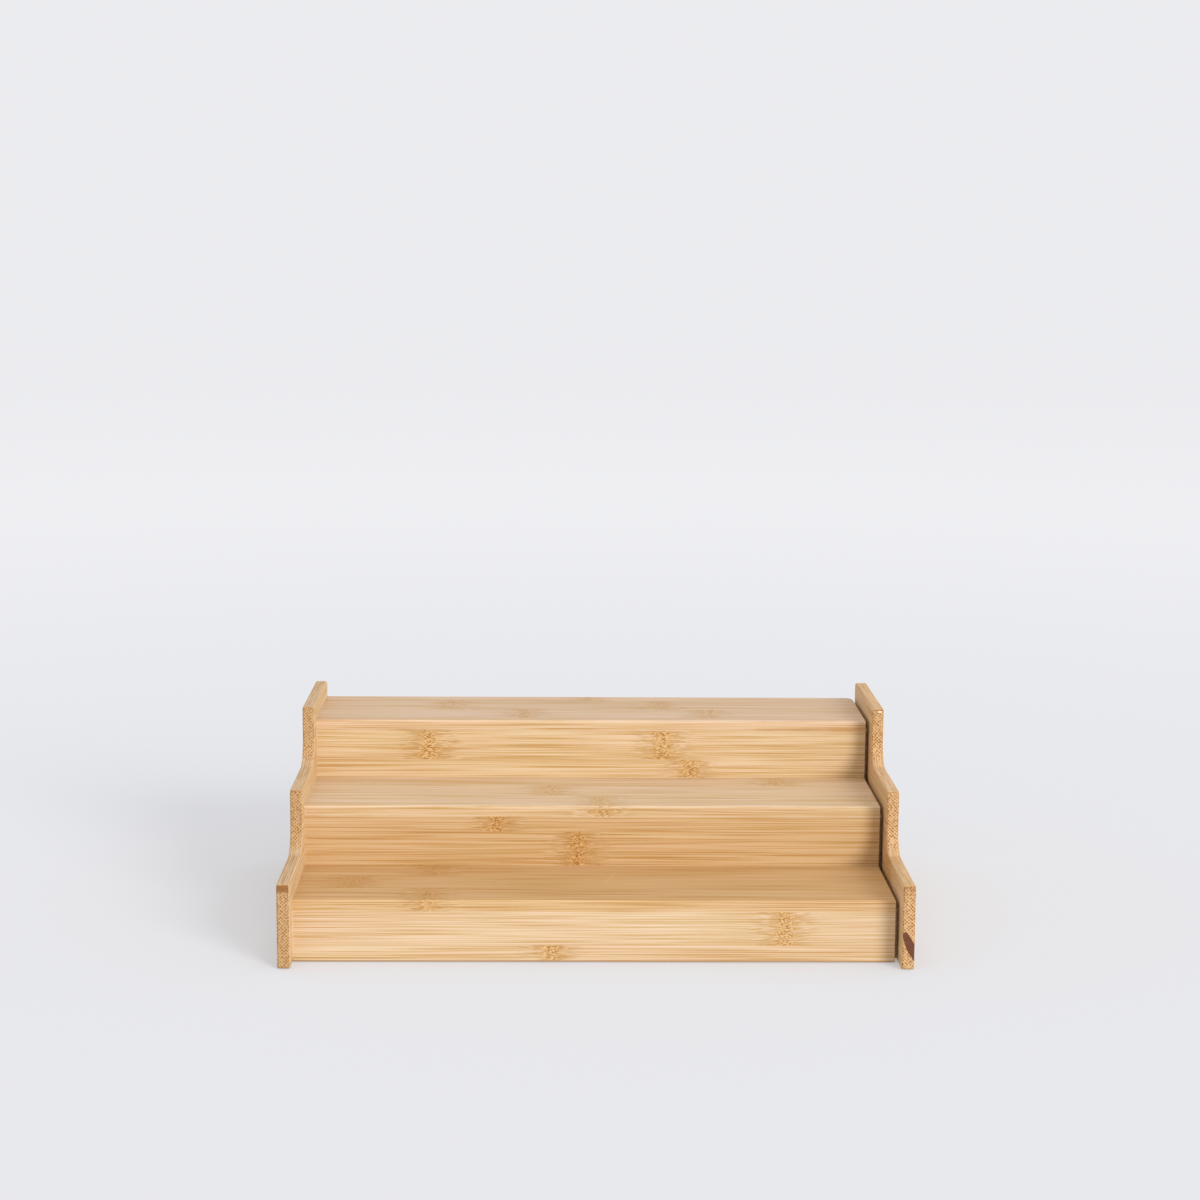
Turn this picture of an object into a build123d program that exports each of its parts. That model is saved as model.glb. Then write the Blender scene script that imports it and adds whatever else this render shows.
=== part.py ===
"""Three-step telescoping shelf of laminated bamboo.

Two stair-shaped halves slide apart sideways. The outer half is a left end panel with three treads and
three risers. The inner half is a right end panel with six more boards of the same kind, set lower and
further back by one board and a running clearance, so that they slide beneath the outer ones.

Millimetres. +X runs to the right along the steps, +Y to the back and +Z up. The origin is the centre
of the closed shelf's footprint, on the surface that it stands on.
"""

import os

from build123d import *

# Overall
closed_width = 325.0
step_count = 3
step_rise = 33.0
step_depth = 67.5

# End panels
panel_thickness = 6.5
panel_overhang = 12.0  # how far a panel stands out in front of each riser
side_lip = 11.3  # height of a panel above the lower and middle treads
top_lip = 9.5  # height of a panel above the upper tread
foot_radius = 1.6
nose_radius = 2.2
hollow_radius = 13.5  # where a panel's front turns into the step below it
crown_radius = 3.0  # at the top of a panel's back
panel_edge_radius = 0.9

# Treads and risers
board_thickness = 6.0
floor_gap = 0.5  # under the lower risers
nosing_radius = 1.3
free_corner_radius = 5.0  # at the back of an upper tread's free end
board_edge_radius = 0.5
tongue_thickness = 2.0
tongue_length = 2.5

# Fits
slide_clearance = 0.75  # between the outer boards and the inner ones
end_gap = 1.8  # from a stair's free end to the other half's panel, when closed

# Wooden pegs between the panels and the boards' ends
peg_diameter = 3.0
peg_in_panel = 4.0
peg_in_board = 10.0

# Worked out from the above
depth = panel_overhang + step_count * step_depth
front_y = -depth / 2
back_y = depth / 2
panel_inner_x = closed_width / 2 - panel_thickness
stair_length = 2 * panel_inner_x - end_gap
nesting_shift = board_thickness + slide_clearance
step_names = ["lower", "middle", "upper"]
last_step = step_count - 1

os.makedirs("parts", exist_ok=True)


# ------------------------------------------------------------------ places in the stair's cross-section
# shift is 0 for the outer stair and nesting_shift for the inner one.


def riser_front(step, shift):
    return front_y + panel_overhang + step * step_depth + shift


def tread_back(step, shift):
    """A tread ends at the next riser's front, and the upper one at the panels' back."""
    return back_y if step == last_step else riser_front(step + 1, shift)


def tread_top(step, shift):
    return (step + 1) * step_rise - shift


def riser_bottom(step, shift):
    """A riser reaches down to the underside of the tread below it, and the lower one to the floor."""
    return floor_gap if step == 0 else tread_top(step - 1, shift) - board_thickness


def riser_top(step, shift):
    return tread_top(step, shift) - board_thickness


def tread_pegs(step, shift):
    """Centres of the two pegs in a tread's end."""
    start = riser_front(step, shift)
    length = tread_back(step, shift) - start
    height = tread_top(step, shift) - board_thickness / 2
    return [(start + length * share, height) for share in (0.25, 0.75)]


def riser_pegs(step, shift):
    """Centre of the one peg in a riser's end."""
    height = (riser_bottom(step, shift) + riser_top(step, shift)) / 2
    return [(riser_front(step, shift) + board_thickness / 2, height)]


def all_pegs(shift):
    places = []
    for step in range(step_count):
        places += tread_pegs(step, shift) + riser_pegs(step, shift)
    return places


# ------------------------------------------------------------------ end panels


def panel_corners():
    """Corners of a panel's outline and the radius at each, from the front foot round to the back."""
    points = [(front_y, 0)]
    radii = [foot_radius]
    for step in range(step_count):
        nose_y = front_y + step * step_depth
        top_z = tread_top(step, 0) + (top_lip if step == last_step else side_lip)
        points.append((nose_y, top_z))
        radii.append(nose_radius)
        if step < last_step:
            points.append((nose_y + step_depth, top_z))
            radii.append(hollow_radius)
    points += [(back_y, top_z), (back_y, 0)]
    radii += [crown_radius, foot_radius]
    return points, radii


def make_panel(name, inner_x, outward, shift):
    """A stair-shaped board whose inner face is at inner_x, with blind holes for its half's pegs."""
    points, radii = panel_corners()
    with BuildPart() as panel:
        with BuildSketch(Plane.YZ.offset(inner_x)):
            with BuildLine():
                FilletPolyline(*points, radius=radii, close=True)
            make_face()
        extrude(amount=outward * panel_thickness)
        faces_by_side = panel.faces().filter_by(Axis.X)
        fillet(faces_by_side.edges(), panel_edge_radius)
        with BuildSketch(Plane.YZ.offset(inner_x)):
            with Locations(*all_pegs(shift)):
                Circle(peg_diameter / 2)
        extrude(amount=outward * peg_in_panel, mode=Mode.SUBTRACT)
    panel.part.label = name
    export_step(panel.part, f"parts/{name}.step")


# ------------------------------------------------------------------ treads and risers


def nearest_end(shapes, x):
    return shapes.sort_by(lambda shape: abs(shape.center().X - x))[0]


def make_tread(name, step, shift, fixed_x, free_x):
    """A level board, grooved beneath its front for its riser and tongued into the next riser."""
    start = riser_front(step, shift)
    length = tread_back(step, shift) - start
    top_z = tread_top(step, shift)
    middle_z = top_z - board_thickness / 2
    with BuildPart() as tread:
        with BuildSketch(Plane.YZ.offset(fixed_x)):
            with Locations((start + length / 2, middle_z)):
                Rectangle(length, board_thickness)
            if step < last_step:
                with Locations((start + length + tongue_length / 2, middle_z)):
                    Rectangle(tongue_length, tongue_thickness)
            groove_z = top_z - board_thickness + tongue_length / 2
            with Locations((start + board_thickness / 2, groove_z)):
                Rectangle(tongue_thickness, tongue_length, mode=Mode.SUBTRACT)
        extrude(amount=free_x - fixed_x)

        nosing = tread.edges().filter_by(Axis.X).group_by(Axis.Y)[0].sort_by(Axis.Z)[-1]
        fillet(nosing, nosing_radius)
        if step == last_step:
            back_corners = tread.edges().filter_by(Axis.Z).group_by(Axis.Y)[-1]
            fillet(nearest_end(back_corners, free_x), free_corner_radius)
            back_edge = tread.edges().filter_by(Axis.X).group_by(Axis.Z)[-1].sort_by(Axis.Y)[-1]
            fillet(back_edge, board_edge_radius)
        else:
            end_edges = tread.edges().filter_by(Axis.Y).group_by(Axis.Z)[-1]
            fillet(nearest_end(end_edges, free_x), board_edge_radius)

        with BuildSketch(Plane.YZ.offset(fixed_x)):
            with Locations(*tread_pegs(step, shift)):
                Circle(peg_diameter / 2)
        inward = 1 if free_x > fixed_x else -1
        extrude(amount=inward * peg_in_board, mode=Mode.SUBTRACT)
    tread.part.label = name
    export_step(tread.part, f"parts/{name}.step")


def make_riser(name, step, shift, fixed_x, free_x):
    """An upright board, tongued into its tread above and grooved in front for the tread below."""
    front = riser_front(step, shift)
    bottom = riser_bottom(step, shift)
    top = riser_top(step, shift)
    middle_y = front + board_thickness / 2
    with BuildPart() as riser:
        with BuildSketch(Plane.YZ.offset(fixed_x)):
            with Locations((middle_y, (bottom + top) / 2)):
                Rectangle(board_thickness, top - bottom)
            with Locations((middle_y, top + tongue_length / 2)):
                Rectangle(tongue_thickness, tongue_length)
            if step > 0:
                with Locations((front + tongue_length / 2, bottom + board_thickness / 2)):
                    Rectangle(tongue_length, tongue_thickness, mode=Mode.SUBTRACT)
        extrude(amount=free_x - fixed_x)

        front_end_edges = riser.edges().filter_by(Axis.Z).group_by(Axis.Y)[0]
        visible_end_edge = nearest_end(front_end_edges.group_by(Edge.length)[-1], free_x)
        fillet(visible_end_edge, board_edge_radius)

        with BuildSketch(Plane.YZ.offset(fixed_x)):
            with Locations(*riser_pegs(step, shift)):
                Circle(peg_diameter / 2)
        inward = 1 if free_x > fixed_x else -1
        extrude(amount=inward * peg_in_board, mode=Mode.SUBTRACT)
    riser.part.label = name
    export_step(riser.part, f"parts/{name}.step")


def make_pegs(name, fixed_x, outward, shift):
    """The plain round pegs of one half, each half sunk in its panel and half in a board's end."""
    with BuildPart() as pegs:
        with BuildSketch(Plane.YZ.offset(fixed_x + outward * peg_in_panel)):
            with Locations(*all_pegs(shift)):
                Circle(peg_diameter / 2)
        extrude(amount=-outward * (peg_in_panel + peg_in_board))
    pegs.part.label = name
    export_step(pegs.part, f"parts/{name}.step")


# ------------------------------------------------------------------ the two halves


def make_half(half, side, outward, shift):
    """One panel, its three steps of two boards each, and its pegs."""
    fixed_x = outward * panel_inner_x
    free_x = fixed_x - outward * stair_length
    make_panel(f"{side}_end_panel", fixed_x, outward, shift)
    for step, step_name in enumerate(step_names):
        make_tread(f"{half}_{step_name}_tread", step, shift, fixed_x, free_x)
        make_riser(f"{half}_{step_name}_riser", step, shift, fixed_x, free_x)
    make_pegs(f"{side}_panel_pegs", fixed_x, outward, shift)


make_half("outer", "left", -1, 0)
make_half("inner", "right", 1, nesting_shift)
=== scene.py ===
"""Looks of the stepped paint rack: laminated bamboo boards, wooden pegs and a pale studio."""

import math

import bmesh
import bpy
from mathutils import Matrix, Vector

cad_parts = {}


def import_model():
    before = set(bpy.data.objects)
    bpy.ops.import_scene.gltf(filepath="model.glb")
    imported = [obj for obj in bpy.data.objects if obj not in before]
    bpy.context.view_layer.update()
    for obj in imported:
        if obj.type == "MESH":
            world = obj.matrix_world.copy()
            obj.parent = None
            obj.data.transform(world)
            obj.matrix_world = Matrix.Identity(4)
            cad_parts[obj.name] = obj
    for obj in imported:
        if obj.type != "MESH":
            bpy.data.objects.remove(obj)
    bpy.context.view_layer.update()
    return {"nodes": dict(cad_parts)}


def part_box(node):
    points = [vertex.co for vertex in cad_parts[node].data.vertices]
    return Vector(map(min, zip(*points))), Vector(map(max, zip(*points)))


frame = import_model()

TO_MM = 1000.0  # materials work in millimetres, the frame in metres
FAR = 1000.0  # mm, further than any board is long
AXES = {"x": 0, "y": 1, "z": 2}

# ---------------------------------------------------------------- bamboo, as cut and laminated
STRIP_WIDTH = 24.5  # mm, each board is glued up from strips this wide
BASE_TONE = (0.550, 0.362, 0.183)  # mean colour of a lacquered face, linear
STREAK_SPREAD = (0.066, 0.114, 0.235)  # how far one step of grain changes red, green and blue
GRAIN_STEPS = ((-8.0, -5.8), (-5.0, -4.0), (-3.0, -2.3), (0.0, 0.2), (3.4, 1.5), (8.0, 2.1))
LACQUER_ROUGHNESS = 0.64
LACQUER_SPECULAR = 0.30
END_GRAIN_TONE = (0.440, 0.255, 0.104)
SCORCH_TONE = (0.235, 0.095, 0.018)
HEARTWOOD_TONE = (0.098, 0.022, 0.009)
HEARTWOOD_FLECKS = (0.34, 0.15, 0.09)
HEARTWOOD_INSET = 2.3  # mm from its middle to the panel's outer face
HEARTWOOD_HEIGHT = 12.4  # mm from its middle to the panel's foot
HEARTWOOD_HALF_LENGTH = 8.6
HEARTWOOD_HALF_WIDTH = 2.3
HEARTWOOD_SLANT = (0.92, 0.40)  # how far its length goes down and outward
CHIP_TONE = (0.78, 0.66, 0.50)
# Painted sheen on a panel's up-facing narrow faces: paler and cooler.
TOP_SHEEN_TINT = (1.04, 1.22, 1.80)
PLIES = ((1.2, 0.6), (2.3, 0.7), (3.3, 0.8), (4.4, 0.6), (5.4, 0.6))  # depth in a panel (mm), strength
PLY_LINE = 0.34  # mm from the middle of a line between two plies to its edge
NOSE_LIP = 11.3  # mm that an end panel's noses stand above the treads
TOP_LIP = 9.5

# Each board: which way its strips lie and how strongly its nodes show, the first seam from its reference
# edge (mm), how its colour differs from the mean, and its nodes (strip number, mm along the grain).
TREAD = {"grain": "x", "across": "y", "through": "z", "from_high": False, "knot_strength": 0.60}
RISER = {"grain": "x", "across": "z", "through": "y", "from_high": True, "knot_strength": 0.88}
PANEL = {"grain": "y", "across": "z", "through": "x", "from_high": False, "knot_strength": 0.88}

BOARDS = {
    # The outer treads' tints also hold painted sheen: paler and cooler on the upper two, darker and warmer
    # on the lowest, a painted reflection of the riser above it.
    "outer_upper_tread": (TREAD, 6.2, (1.01, 1.07, 1.31), ((1, -39), (1, 66), (2, -82), (2, 38), (3, -2))),
    "outer_upper_riser": (RISER, 19.2, (1.07, 1.13, 1.19), ((0, -93), (0, 39), (1, 55))),
    "outer_middle_tread": (TREAD, 23.4, (1.05, 1.13, 1.33), ((0, 4), (1, -24), (2, 102))),
    "outer_middle_riser": (RISER, 10.7, (0.97, 0.92, 0.82), ((0, -53), (1, -9))),
    "outer_lower_tread": (TREAD, 22.8, (0.94, 0.86, 0.72), ((0, -87), (1, -128), (2, -86))),
    "outer_lower_riser": (RISER, 20.3, (1.09, 1.13, 1.23), ((0, 97), (1, -23))),
    "inner_upper_tread": (TREAD, 11.0, (1.00, 0.99, 0.96), ((0, 118), (1, 24), (2, -96))),
    "inner_upper_riser": (RISER, 14.0, (1.03, 1.04, 1.05), ((0, 131), (1, -36))),
    "inner_middle_tread": (TREAD, 17.5, (1.01, 1.02, 1.04), ((0, 62), (1, 139), (2, -60))),
    "inner_middle_riser": (RISER, 21.0, (0.96, 0.92, 0.86), ((0, 88), (1, -120))),
    "inner_lower_tread": (TREAD, 8.0, (0.98, 0.96, 0.92), ((1, 104), (2, -15), (3, 46))),
    "inner_lower_riser": (RISER, 16.0, (1.03, 1.06, 1.10), ((0, 22), (1, 112))),
    "left_end_panel": (PANEL, 14.0, (1.09, 1.14, 1.20), ((0, -61), (1, 34), (2, 78), (3, 52))),
    "right_end_panel": (PANEL, 20.0, (1.14, 1.13, 1.09), ((0, 18), (1, -48), (2, 88), (3, 61))),
}
# How the colour of each visible tread's front edge differs from that of its top, whose tint holds painted
# sheen.
NOSE_TINT = {
    "outer_upper_tread": (1.05, 1.01, 0.88),
    "outer_middle_tread": (1.00, 0.95, 0.82),
    "outer_lower_tread": (1.07, 1.11, 1.20),
}
NARROW_SHADE = {"left_end_panel": 0.30, "right_end_panel": 0.0}  # browner on its sawn edges
# How strongly, and how many mm down, the saw browned the front edge of each panel's three noses.
SCORCHED = {
    "left_end_panel": ((0.90, 4.0), (0.70, 1.0), (0.70, 1.0)),
    "right_end_panel": ((0.50, 3.0), (0.55, 0.9), (0.60, 1.5)),
}


class Graph:
    """The nodes of one material. Apart from feed, each method adds nodes and returns what they put out."""

    def __init__(self, name):
        self.material = bpy.data.materials.new(name)
        self.material.use_nodes = True
        self.tree = self.material.node_tree
        self.shader = self.tree.nodes["Principled BSDF"]

    def feed(self, socket, value):
        if isinstance(value, bpy.types.NodeSocket):
            self.tree.links.new(value, socket)
        else:
            socket.default_value = value

    def add(self, kind, inputs, **settings):
        node = self.tree.nodes.new(kind)
        for key, value in settings.items():
            setattr(node, key, value)
        for key, value in inputs.items():
            self.feed(node.inputs[key], value)
        return node

    def math(self, operation, *values):
        return self.add("ShaderNodeMath", dict(enumerate(values)), operation=operation).outputs[0]

    def vector(self, operation, *values):
        return self.add("ShaderNodeVectorMath", dict(enumerate(values)), operation=operation).outputs[0]

    def place(self, x, y, z):
        return self.add("ShaderNodeCombineXYZ", {0: x, 1: y, 2: z}).outputs[0]

    def parts(self, place):
        return self.add("ShaderNodeSeparateXYZ", {0: place}).outputs

    def smooth(self, value, low, high):
        """0 at low, 1 at high, with a soft shoulder at both."""
        inputs = {"Value": value, "From Min": low, "From Max": high}
        return self.add("ShaderNodeMapRange", inputs, interpolation_type="SMOOTHSTEP").outputs[0]

    def product(self, first, *others):
        for value in others:
            first = self.math("MULTIPLY", first, value)
        return first

    def noise(self, place, size, detail=2.0, roughness=0.5):
        """Soft noise whose clumps measure size along the three axes, centred on 0."""
        inputs = {"Vector": self.vector("DIVIDE", place, size), "Scale": 1.0}
        inputs.update({"Detail": detail, "Roughness": roughness})
        return self.math("SUBTRACT", self.add("ShaderNodeTexNoise", inputs).outputs[0], 0.5)

    def cells(self, place, size, randomness=1.0):
        """Distance from the nearest cell's middle, and that cell's own grey value."""
        inputs = {"Vector": self.vector("DIVIDE", place, size), "Scale": 1.0, "Randomness": randomness}
        node = self.add("ShaderNodeTexVoronoi", inputs)
        return node.outputs["Distance"], self.parts(node.outputs["Color"])[0]

    def mix(self, amount, first, second):
        node = self.add("ShaderNodeMix", {0: amount}, data_type="RGBA")
        self.feed(node.inputs[6], as_colour(first))
        self.feed(node.inputs[7], as_colour(second))
        return node.outputs[2]

    def ramp(self, value, stops):
        node = self.add("ShaderNodeValToRGB", {0: value})
        marks = node.color_ramp.elements
        while len(marks) < len(stops):
            marks.new(0.5)
        for mark, (position, colour) in zip(marks, stops):
            mark.position = position
            mark.color = as_colour(colour)
        return node.outputs[0]


def as_colour(value):
    return value if isinstance(value, bpy.types.NodeSocket) else (*value, 1.0)


def shaded(tone, steps):
    """A bamboo tone so many steps of grain lighter (positive) or darker (negative)."""
    return tuple(c * math.exp(steps * s) for c, s in zip(tone, STREAK_SPREAD))


def tinted(tone, tint):
    return tuple(c * t for c, t in zip(tone, tint))


def strips(g, across, reference, direction):
    """Number of the strip that a point is in, and its distance from the nearest seam in mm."""
    offset = g.math("MULTIPLY", g.math("SUBTRACT", across, reference), direction / STRIP_WIDTH)
    number = g.math("FLOOR", offset)
    middle = g.math("ABSOLUTE", g.math("SUBTRACT", g.math("SUBTRACT", offset, number), 0.5))
    seam = g.math("MULTIPLY", g.math("SUBTRACT", 0.5, middle), STRIP_WIDTH)
    return number, seam


def nearest_knot(g, number, along, knots):
    """Distance in mm along the grain to the nearest node of a strip; strip 0 lies before the first seam."""
    nearest = FAR
    for strip, position in knots:
        distance = g.math("ABSOLUTE", g.math("SUBTRACT", along, position))
        elsewhere = g.math("ABSOLUTE", g.math("SUBTRACT", number, strip - 1.0))
        reach = g.math("MULTIPLY_ADD", elsewhere, FAR, distance)
        nearest = g.math("MINIMUM", reach, nearest)
    return nearest


def fibres(g, place, near):
    """Long straight fibres, wavy beside a node. Returns the grain in steps about 0, and its fine part."""
    along, across, through = g.parts(place)
    wobble = g.noise(place, (9.0, 2.2, 4.0))
    reach = g.math("MULTIPLY_ADD", g.smooth(near, 22.0, 4.0), 2.6, 0.12)
    bend = g.math("MULTIPLY", wobble, reach)
    bent = g.place(along, g.math("ADD", across, bend), g.math("ADD", through, bend))
    fine = g.noise(bent, (60.0, 0.42, 0.50), 0.0)
    thread = g.noise(bent, (240.0, 0.66, 0.80), 0.0)
    medium = g.noise(bent, (140.0, 1.60, 1.90), 1.0)
    broad = g.noise(bent, (160.0, 7.0, 8.0), 1.0)
    dark = g.smooth(g.noise(bent, (60.0, 0.60, 0.80), 0.0), 0.15, 0.30)
    grain = g.math("MULTIPLY", fine, 20.0)
    for layer, strength in ((thread, 8.0), (medium, 2.6), (broad, 2.8), (dark, -1.5)):
        grain = g.math("MULTIPLY_ADD", layer, strength, grain)
    return grain, fine


def knot_colour(g, colour, place, near, tone):
    """A node: amber streaks each side of a stippled band, and a line of dark pores down its middle."""
    ragged = g.math("MULTIPLY_ADD", g.noise(place, (60.0, 0.8, 1.5)), 15.0, near)
    streak = g.noise(place, (10.0, 0.70, 0.9))
    side = g.product(g.smooth(ragged, 20.0, 4.0), g.smooth(streak, -0.10, 0.12), 0.85)
    colour = g.mix(side, colour, shaded(tone, -5.2))
    amber = g.product(g.smooth(ragged, 9.0, 1.0), 0.50)
    colour = g.mix(amber, colour, tinted(shaded(tone, -4.0), (1.12, 1.0, 0.72)))
    stipple = g.math("ADD", g.noise(place, (1.30, 0.60, 0.80), 1.0), 0.5)
    flecks = tinted(tone, (1.06, 1.0, 0.80))
    stops = ((0.36, shaded(flecks, -10.5)), (0.48, shaded(flecks, -3.8)), (0.58, shaded(flecks, 0.8)))
    colour = g.mix(g.product(g.smooth(ragged, 6.0, 2.4), 0.85), colour, g.ramp(stipple, stops))
    distance, kind = g.cells(place, (1.5, 1.30, 1.5))
    pore = g.product(g.smooth(distance, 0.42, 0.22), g.smooth(near, 3.0, 0.9), g.smooth(kind, 0.30, 0.40))
    return g.mix(g.product(pore, 0.95), colour, shaded(tone, -13.0))


def cut_ends(g, place, tone):
    """Sawn fibre ends: dark bundles packed in slanted rows in a paler ground."""
    across, through = g.parts(place)[1:3]
    rows = g.place(g.math("ADD", across, through), g.math("SUBTRACT", across, through), 0.0)
    distance, kind = g.cells(rows, (1.80, 1.80, 1.0), 0.34)
    cloud = g.noise(place, (40.0, 5.0, 3.0))
    value = g.math("MULTIPLY_ADD", g.math("SUBTRACT", kind, 0.5), 0.12, distance)
    value = g.math("MULTIPLY_ADD", cloud, 0.14, value)
    stops = ((0.18, shaded(tone, -10.0)), (0.38, shaded(tone, -1.8)), (0.50, shaded(tone, 2.4)))
    return g.ramp(value, stops), distance


def plain_board_wear(g, colour, axes, low, high, tone):
    """Rubbed edges. The nearest edge is as far away as the middle one of the three face distances."""
    depths = []
    for axis, bottom, top in zip(axes, low, high):
        above = g.math("SUBTRACT", axis, bottom * TO_MM)
        below = g.math("SUBTRACT", top * TO_MM, axis)
        depths.append(g.math("MINIMUM", above, below))
    a, b, c = depths
    edge = g.math("MAXIMUM", g.math("MINIMUM", a, b), g.math("MINIMUM", g.math("MAXIMUM", a, b), c))
    patchy = g.smooth(g.noise(g.place(*axes), (14.0, 14.0, 14.0)), -0.20, 0.15)
    worn = g.product(g.smooth(edge, 1.3, 0.3), patchy)
    return g.mix(g.product(worn, 0.5), colour, shaded(tone, 1.6)), worn


def panel_wear_and_sheen(g, colour, name, axes, facing, low, high, tone):
    """Narrow faces of a panel: brown outline, painted sheen that pales and cools its tops, ply lines, and
    scorching down its noses.
    """
    inner = g.math("SUBTRACT", axes[0], low[0] * TO_MM)
    outer = g.math("SUBTRACT", high[0] * TO_MM, axes[0])
    rim = g.math("MINIMUM", inner, outer)
    narrow = g.smooth(g.math("ABSOLUTE", facing[0]), 0.75, 0.45)
    patchy = g.smooth(g.noise(g.place(*axes), (6.0, 9.0, 9.0)), -0.22, 0.12)
    outline = g.product(g.smooth(rim, 0.95, 0.25), narrow, patchy, 0.75)
    colour = g.mix(g.product(narrow, NARROW_SHADE[name]), colour, shaded(tone, -4.5))
    colour = g.mix(outline, colour, shaded(tone, -7.0))
    # Painted sheen: the up-facing narrow faces turn paler and cooler.
    top_sheen = g.product(narrow, g.smooth(facing[2], 0.5, 0.9), 0.4)
    colour = g.mix(top_sheen, colour, tinted(tone, TOP_SHEEN_TINT))
    sway = g.math("MULTIPLY_ADD", g.noise(g.place(*axes), (2.0, 30.0, 30.0)), 1.2, inner)
    upward = g.smooth(facing[2], 0.35, 0.8)
    for depth, strength in PLIES:
        off = g.math("ABSOLUTE", g.math("SUBTRACT", sway, depth))
        broken = g.smooth(g.noise(g.place(*axes), (1.0 + depth, 22.0, 22.0)), -0.12, 0.08)
        line = g.product(g.smooth(off, PLY_LINE, 0.10), broken, upward, strength)
        colour = g.mix(line, colour, shaded(tone, -6.0))
    front = g.smooth(facing[1], -0.35, -0.8)
    treads = ("outer_lower_tread", "outer_middle_tread", "outer_upper_tread")
    lips = (NOSE_LIP, NOSE_LIP, TOP_LIP)
    ragged = g.math("MULTIPLY_ADD", g.noise(g.place(*axes), (0.9, 3.0, 1.4)), 5.0, axes[2])
    for tread, lip, (strength, depth) in zip(treads, lips, SCORCHED[name]):
        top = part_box(tread)[1][2] * TO_MM + lip
        lower = top - depth
        band = g.product(g.smooth(ragged, lower - 0.9, lower + 0.9), g.smooth(axes[2], top + 0.8, top))
        colour = g.mix(g.product(band, front, strength), colour, SCORCH_TONE)
    return colour, outline


def heartwood(g, colour, axes, facing, low, high):
    """A slanted reddish-brown flaw that runs out of the panel's front edge near its foot."""
    aside = g.math("SUBTRACT", axes[0], high[0] * TO_MM - HEARTWOOD_INSET)
    above = g.math("SUBTRACT", axes[2], low[2] * TO_MM + HEARTWOOD_HEIGHT)
    down, outward = HEARTWOOD_SLANT
    lengthwise = g.math("MULTIPLY_ADD", above, -down, g.math("MULTIPLY", aside, outward))
    crosswise = g.math("MULTIPLY_ADD", above, outward, g.math("MULTIPLY", aside, down))
    x = g.math("DIVIDE", lengthwise, HEARTWOOD_HALF_LENGTH)
    y = g.math("DIVIDE", crosswise, HEARTWOOD_HALF_WIDTH)
    reach = g.math("ADD", g.math("MULTIPLY", x, x), g.math("MULTIPLY", y, y))
    reach = g.math("MULTIPLY_ADD", g.noise(g.place(*axes), (1.2, 8.0, 1.8)), 0.6, reach)
    flecks = g.smooth(g.noise(g.place(*axes), (0.8, 6.0, 0.8)), 0.14, 0.22)
    brown = g.mix(g.product(flecks, 0.35), HEARTWOOD_TONE, HEARTWOOD_FLECKS)
    inside = g.product(g.smooth(reach, 1.05, 0.85), g.smooth(facing[1], -0.3, -0.7), 0.92)
    return g.mix(inside, colour, brown)


def chip(g, colour, axes, facing, high, tone):
    """A small pale bruise on the front of the panel's top nose, ringed with brown."""
    x = g.math("DIVIDE", g.math("SUBTRACT", axes[0], high[0] * TO_MM - 2.2), 1.3)
    z = g.math("DIVIDE", g.math("SUBTRACT", axes[2], high[2] * TO_MM - 1.7), 0.55)
    apart = g.math("ADD", g.math("MULTIPLY", x, x), g.math("MULTIPLY", z, z))
    front = g.smooth(facing[1], -0.3, -0.7)
    colour = g.mix(g.product(g.smooth(apart, 4.5, 2.0), front, 0.5), colour, shaded(tone, -7.0))
    return g.mix(g.product(g.smooth(apart, 1.3, 0.6), front, 0.9), colour, CHIP_TONE)


def scratch(g, colour, axes, high, tone):
    """One fine pale scratch across the grain of a tread's top."""
    aside = g.math("SUBTRACT", axes[0], g.math("MULTIPLY_ADD", axes[1], 0.32, 24.3))
    length = g.product(g.smooth(axes[1], -61.0, -58.0), g.smooth(axes[1], -40.0, -43.0))
    top = g.smooth(axes[2], high[2] * TO_MM - 0.5, high[2] * TO_MM - 0.1)
    line = g.product(g.smooth(g.math("ABSOLUTE", aside), 0.35, 0.08), length, top, 0.55)
    return g.mix(line, colour, shaded(tone, 3.0))


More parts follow.
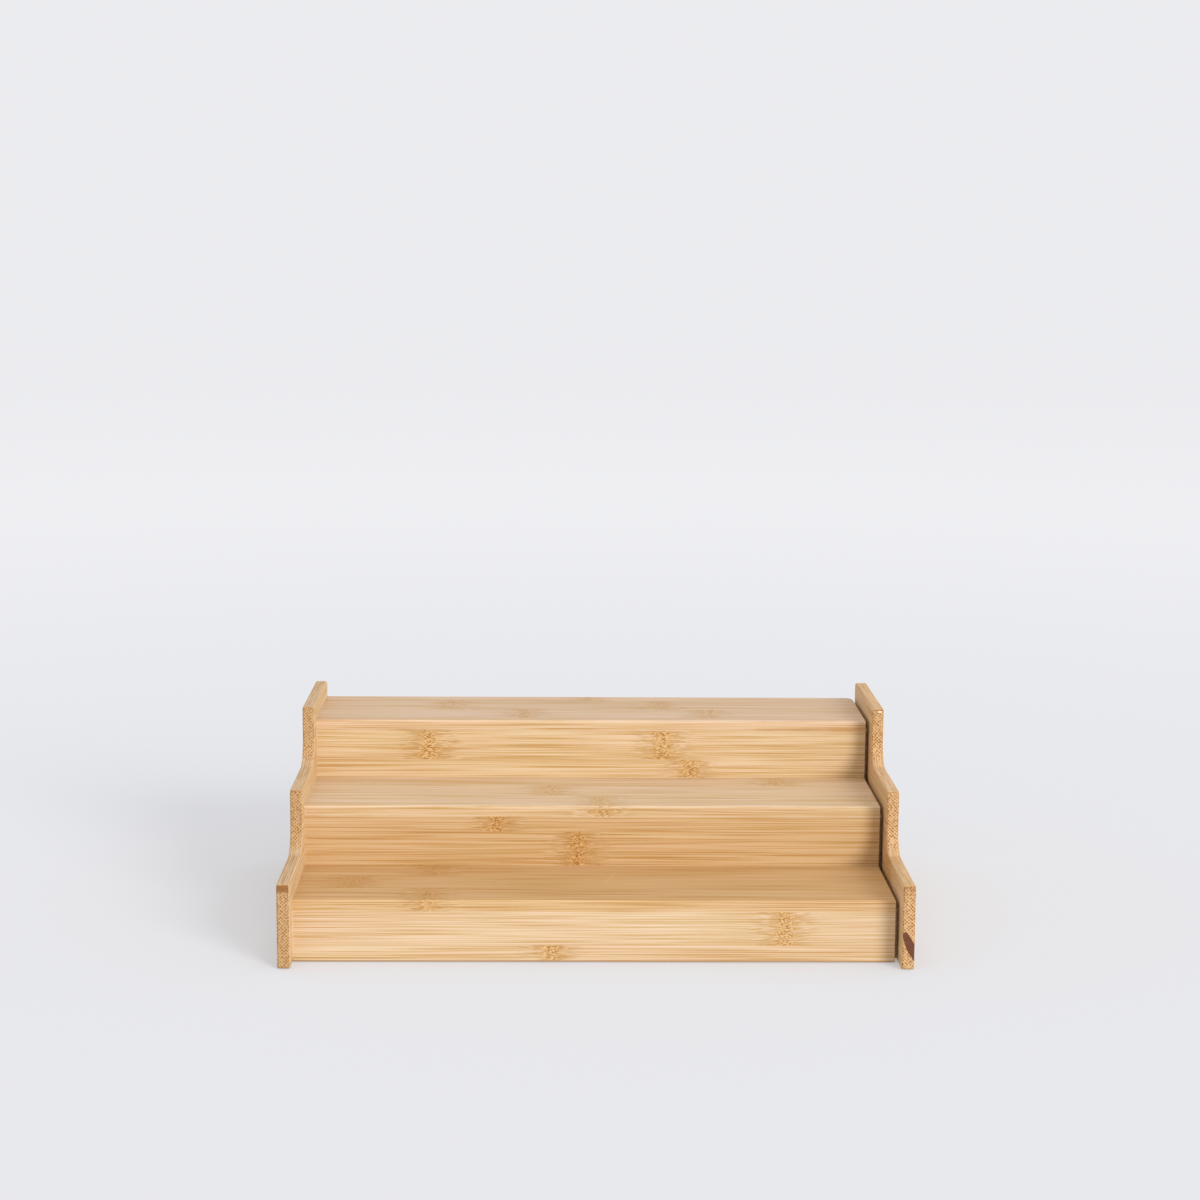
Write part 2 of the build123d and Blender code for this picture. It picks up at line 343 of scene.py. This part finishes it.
def bamboo(name, roles, first_seam, tint, knots, seed):
    """One board or panel of laminated bamboo: grain, nodes, seams, cut ends, wear, painted sheen, a painted
    shadow along the lower risers' feet, and lacquer.
    """
    g = Graph(name)
    low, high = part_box(name)
    tone = tinted(BASE_TONE, tint)
    coordinates = g.add("ShaderNodeTexCoord", {})
    axes = g.parts(g.vector("MULTIPLY", coordinates.outputs["Object"], (TO_MM, TO_MM, TO_MM)))
    facing = g.parts(coordinates.outputs["Normal"])
    along, across, through = (axes[AXES[roles[key]]] for key in ("grain", "across", "through"))
    side = AXES[roles["across"]]
    if roles["from_high"]:
        number, seam = strips(g, across, high[side] * TO_MM - first_seam, -1.0)
    else:
        number, seam = strips(g, across, low[side] * TO_MM + first_seam, 1.0)

    shift = g.math("MULTIPLY_ADD", number, 37.3, seed)
    place = g.place(along, across, g.math("ADD", through, shift))
    near = nearest_knot(g, number, along, knots)
    grain, fine = fibres(g, place, near)
    luck = g.add("ShaderNodeTexWhiteNoise", {"W": shift}, noise_dimensions="1D").outputs[0]
    grain = g.math("MULTIPLY_ADD", g.math("SUBTRACT", luck, 0.5), 1.4, grain)
    stops = [(0.5 + k / 16.0, shaded(tone, steps)) for k, steps in GRAIN_STEPS]
    colour = g.ramp(g.math("MULTIPLY_ADD", grain, 1 / 16.0, 0.5), stops)
    warmth = g.smooth(g.noise(place, (90.0, 11.0, 11.0), 1.0), -0.25, 0.25)
    pinker = tinted(tone, (1.04, 0.88, 0.92))
    yellower = tinted(tone, (1.0, 1.1, 0.84))
    colour = g.mix(0.12, colour, g.mix(warmth, pinker, yellower))
    colour = g.mix(roles["knot_strength"], colour, knot_colour(g, colour, place, near, tone))
    colour = g.mix(g.product(g.smooth(seam, 0.22, 0.05), 0.4), colour, shaded(tone, -5.0))

    # Painted sheen: front edges are retinted, since the tread's tint paints a sheen that only its top
    # shows.
    if name in NOSE_TINT:
        front = g.smooth(facing[1], -0.3, -0.8)
        colour = g.mix(front, colour, g.vector("MULTIPLY", colour, NOSE_TINT[name]))

    cut = g.smooth(g.math("ABSOLUTE", facing[AXES[roles["grain"]]]), 0.40, 0.72)
    end_tone = tinted(END_GRAIN_TONE, tint)
    ends, bundles = cut_ends(g, place, end_tone)
    colour = g.mix(cut, colour, ends)
    if name in SCORCHED:
        colour, worn = panel_wear_and_sheen(g, colour, name, axes, facing, low, high, end_tone)
    else:
        colour, worn = plain_board_wear(g, colour, axes, low, high, tone)
    if name == "right_end_panel":
        colour = heartwood(g, colour, axes, facing, low, high)
        colour = chip(g, colour, axes, facing, high, end_tone)
    # Painted shadow: a thin dark line along the foot of each lower riser, where it meets the floor.
    if name.endswith("lower_riser"):
        foot_shadow = g.smooth(axes[2], low[2] * TO_MM + 1.0, low[2] * TO_MM + 0.3)
        colour = g.mix(g.product(foot_shadow, 0.75), colour, shaded(tone, -9.0))
    if name == "outer_lower_tread":
        colour = scratch(g, colour, axes, high, tone)

    roughness = g.math("MULTIPLY_ADD", fine, 0.25, LACQUER_ROUGHNESS)
    roughness = g.math("MULTIPLY_ADD", cut, 0.15, roughness)
    roughness = g.math("MULTIPLY_ADD", worn, 0.12, roughness)
    height = g.math("MULTIPLY_ADD", g.smooth(seam, 0.25, 0.0), -0.4, fine)
    height = g.math("MULTIPLY_ADD", g.product(bundles, cut), -0.8, height)
    bump = g.add("ShaderNodeBump", {"Strength": 0.3, "Distance": 0.00006, "Height": height})
    g.feed(g.shader.inputs["Base Color"], colour)
    g.feed(g.shader.inputs["Roughness"], roughness)
    g.feed(g.shader.inputs["Specular IOR Level"], LACQUER_SPECULAR)
    g.feed(g.shader.inputs["Normal"], bump.outputs[0])
    return g.material


def put_on(node_name, material):
    """Gives a CAD node its one material."""
    piece = frame["nodes"][node_name]
    piece.data.materials.clear()
    piece.data.materials.append(material)


for seed, (board, (roles, first_seam, tint, knots)) in enumerate(BOARDS.items()):
    put_on(board, bamboo(board, roles, first_seam, tint, knots, 11.0 * seed + 3.0))


BIRCH_STOPS = ((0.3, (0.42, 0.27, 0.14)), (0.5, (0.56, 0.40, 0.24)), (0.7, (0.66, 0.51, 0.34)))


def peg_wood(name, seed):
    """Plain turned birch, with fine grain along the peg."""
    g = Graph(name)
    coordinates = g.add("ShaderNodeTexCoord", {}).outputs["Object"]
    place = g.vector("MULTIPLY_ADD", coordinates, (TO_MM, TO_MM, TO_MM), (seed, seed, seed))
    grain = g.noise(place, (11.0, 0.6, 0.6), 3.0)
    g.feed(g.shader.inputs["Base Color"], g.ramp(g.math("ADD", grain, 0.5), BIRCH_STOPS))
    g.feed(g.shader.inputs["Roughness"], g.math("MULTIPLY_ADD", grain, 0.2, 0.6))
    bump = g.add("ShaderNodeBump", {"Strength": 0.3, "Distance": 0.00005, "Height": grain})
    g.feed(g.shader.inputs["Normal"], bump.outputs[0])
    return g.material


for seed, pegs in enumerate(("left_panel_pegs", "right_panel_pegs")):
    put_on(pegs, peg_wood(pegs, 50.0 * seed))


# ---------------------------------------------------------------- studio: backdrop, light and camera
FLOOR_RADIUS = 6.0  # m, far enough for its edge to melt into the air behind
FLOOR_RINGS = 12
FLOOR_SIDES = 96
PAPER_MIDDLE = (0.420, 0.423, 0.432)
PAPER_RIM = (0.495, 0.495, 0.500)
PAPER_SPECK = (0.5, 0.5, 0.5)
GLOW_COLOUR = (1.0, 1.0, 1.03)
PAPER_GLOW = 0.29  # the sheet glows softly, which lightens every shadow on it
AIR_COLOUR = (0.835, 0.838, 0.865)


def backdrop():
    """A wide pale floor, as a flat round sheet with a ring of faces for each step outward."""
    shape = bmesh.new()
    middle = shape.verts.new((0.0, 0.0, 0.0))
    turns = [2 * math.pi * k / FLOOR_SIDES for k in range(FLOOR_SIDES)]
    rings = []
    for k in range(1, FLOOR_RINGS + 1):
        radius = FLOOR_RADIUS * (k / FLOOR_RINGS) ** 2
        rings.append([shape.verts.new((radius * math.cos(t), radius * math.sin(t), 0.0)) for t in turns])
    for k in range(FLOOR_SIDES):
        after = (k + 1) % FLOOR_SIDES
        shape.faces.new((middle, rings[0][k], rings[0][after]))
        for inner, outer in zip(rings, rings[1:]):
            shape.faces.new((inner[k], outer[k], outer[after], inner[after]))
    mesh = bpy.data.meshes.new("backdrop")
    shape.to_mesh(mesh)
    shape.free()
    floor = bpy.data.objects.new("backdrop", mesh)
    bpy.context.scene.collection.objects.link(floor)
    mesh.materials.append(paper())


def paper():
    """Matt white sheet, a little brighter far out, where less of the light reaches it."""
    g = Graph("backdrop_paper")
    place = g.add("ShaderNodeTexCoord", {}).outputs["Object"]
    out = g.add("ShaderNodeVectorMath", {0: place}, operation="LENGTH").outputs["Value"]
    colour = g.mix(g.smooth(out, 0.2, 2.2), PAPER_MIDDLE, PAPER_RIM)
    tooth = g.noise(place, (0.0011, 0.0011, 0.0011), 3.0)
    speckled = g.mix(g.math("MULTIPLY_ADD", tooth, 0.04, 0.02), colour, PAPER_SPECK)
    g.feed(g.shader.inputs["Base Color"], speckled)
    g.feed(g.shader.inputs["Roughness"], 1.0)
    g.feed(g.shader.inputs["Emission Color"], as_colour(GLOW_COLOUR))
    g.feed(g.shader.inputs["Emission Strength"], PAPER_GLOW)
    g.feed(g.shader.inputs["Specular IOR Level"], 0.0)
    bump = g.add("ShaderNodeBump", {"Strength": 0.1, "Distance": 0.0001, "Height": tooth})
    g.feed(g.shader.inputs["Normal"], bump.outputs[0])
    return g.material


def softbox(name, azimuth, elevation, distance, size, power):
    """A square light facing the object. Azimuth 0 is in front of it, 90 at its right. Watts and metres."""
    a, e = math.radians(azimuth), math.radians(elevation)
    away = Vector((math.sin(a) * math.cos(e), -math.cos(a) * math.cos(e), math.sin(e)))
    data = bpy.data.lights.new(name, "AREA")
    data.shape = "SQUARE"
    data.size = size
    data.energy = power
    light = bpy.data.objects.new(name, data)
    light.rotation_mode = "QUATERNION"
    light.location = away * distance
    light.rotation_quaternion = away.to_track_quat("Z", "Y")
    bpy.context.scene.collection.objects.link(light)


def broad_key(azimuth, elevation, strength, width):
    """A big soft source far off, so it lights the whole floor evenly: angles and width in degrees."""
    data = bpy.data.lights.new("key_light", "SUN")
    data.energy = strength
    data.angle = math.radians(width)
    lamp = bpy.data.objects.new("key_light", data)
    turn = Matrix.Rotation(math.radians(azimuth), 4, "Z")
    lamp.matrix_world = turn @ Matrix.Rotation(math.radians(90.0 - elevation), 4, "X")
    bpy.context.scene.collection.objects.link(lamp)


def world(colour, strength):
    air = bpy.data.worlds.new("studio_air")
    air.use_nodes = True
    background = air.node_tree.nodes["Background"]
    background.inputs["Color"].default_value = (*colour, 1.0)
    background.inputs["Strength"].default_value = strength
    bpy.context.scene.world = air


FOCAL_LENGTH = 71.9  # mm, on a sensor 36 mm wide
CAMERA_AT = Vector((-0.0218, -1.2852, 0.3759))
CAMERA_YAW = -1.083  # degrees, negative looks a little to the right
CAMERA_PITCH = -8.927
CAMERA_ROLL = 0.413


def camera():
    data = bpy.data.cameras.new("camera")
    data.sensor_width = 36.0
    data.lens = FOCAL_LENGTH
    data.clip_end = 20.0
    eye = bpy.data.objects.new("camera", data)
    turn = Matrix.Rotation(math.radians(CAMERA_YAW), 4, "Z")
    tilt = Matrix.Rotation(math.radians(90.0 + CAMERA_PITCH), 4, "X")
    roll = Matrix.Rotation(math.radians(CAMERA_ROLL), 4, "Z")
    eye.matrix_world = Matrix.Translation(CAMERA_AT) @ turn @ tilt @ roll
    bpy.context.scene.collection.objects.link(eye)
    bpy.context.scene.camera = eye


backdrop()
world(AIR_COLOUR, 1.0)
broad_key(azimuth=37.0, elevation=20.0, strength=2.35, width=24.0)
softbox("top_light", azimuth=0.0, elevation=85.0, distance=3.0, size=2.0, power=14.0)
camera()
bpy.context.scene.view_settings.view_transform = "Standard"
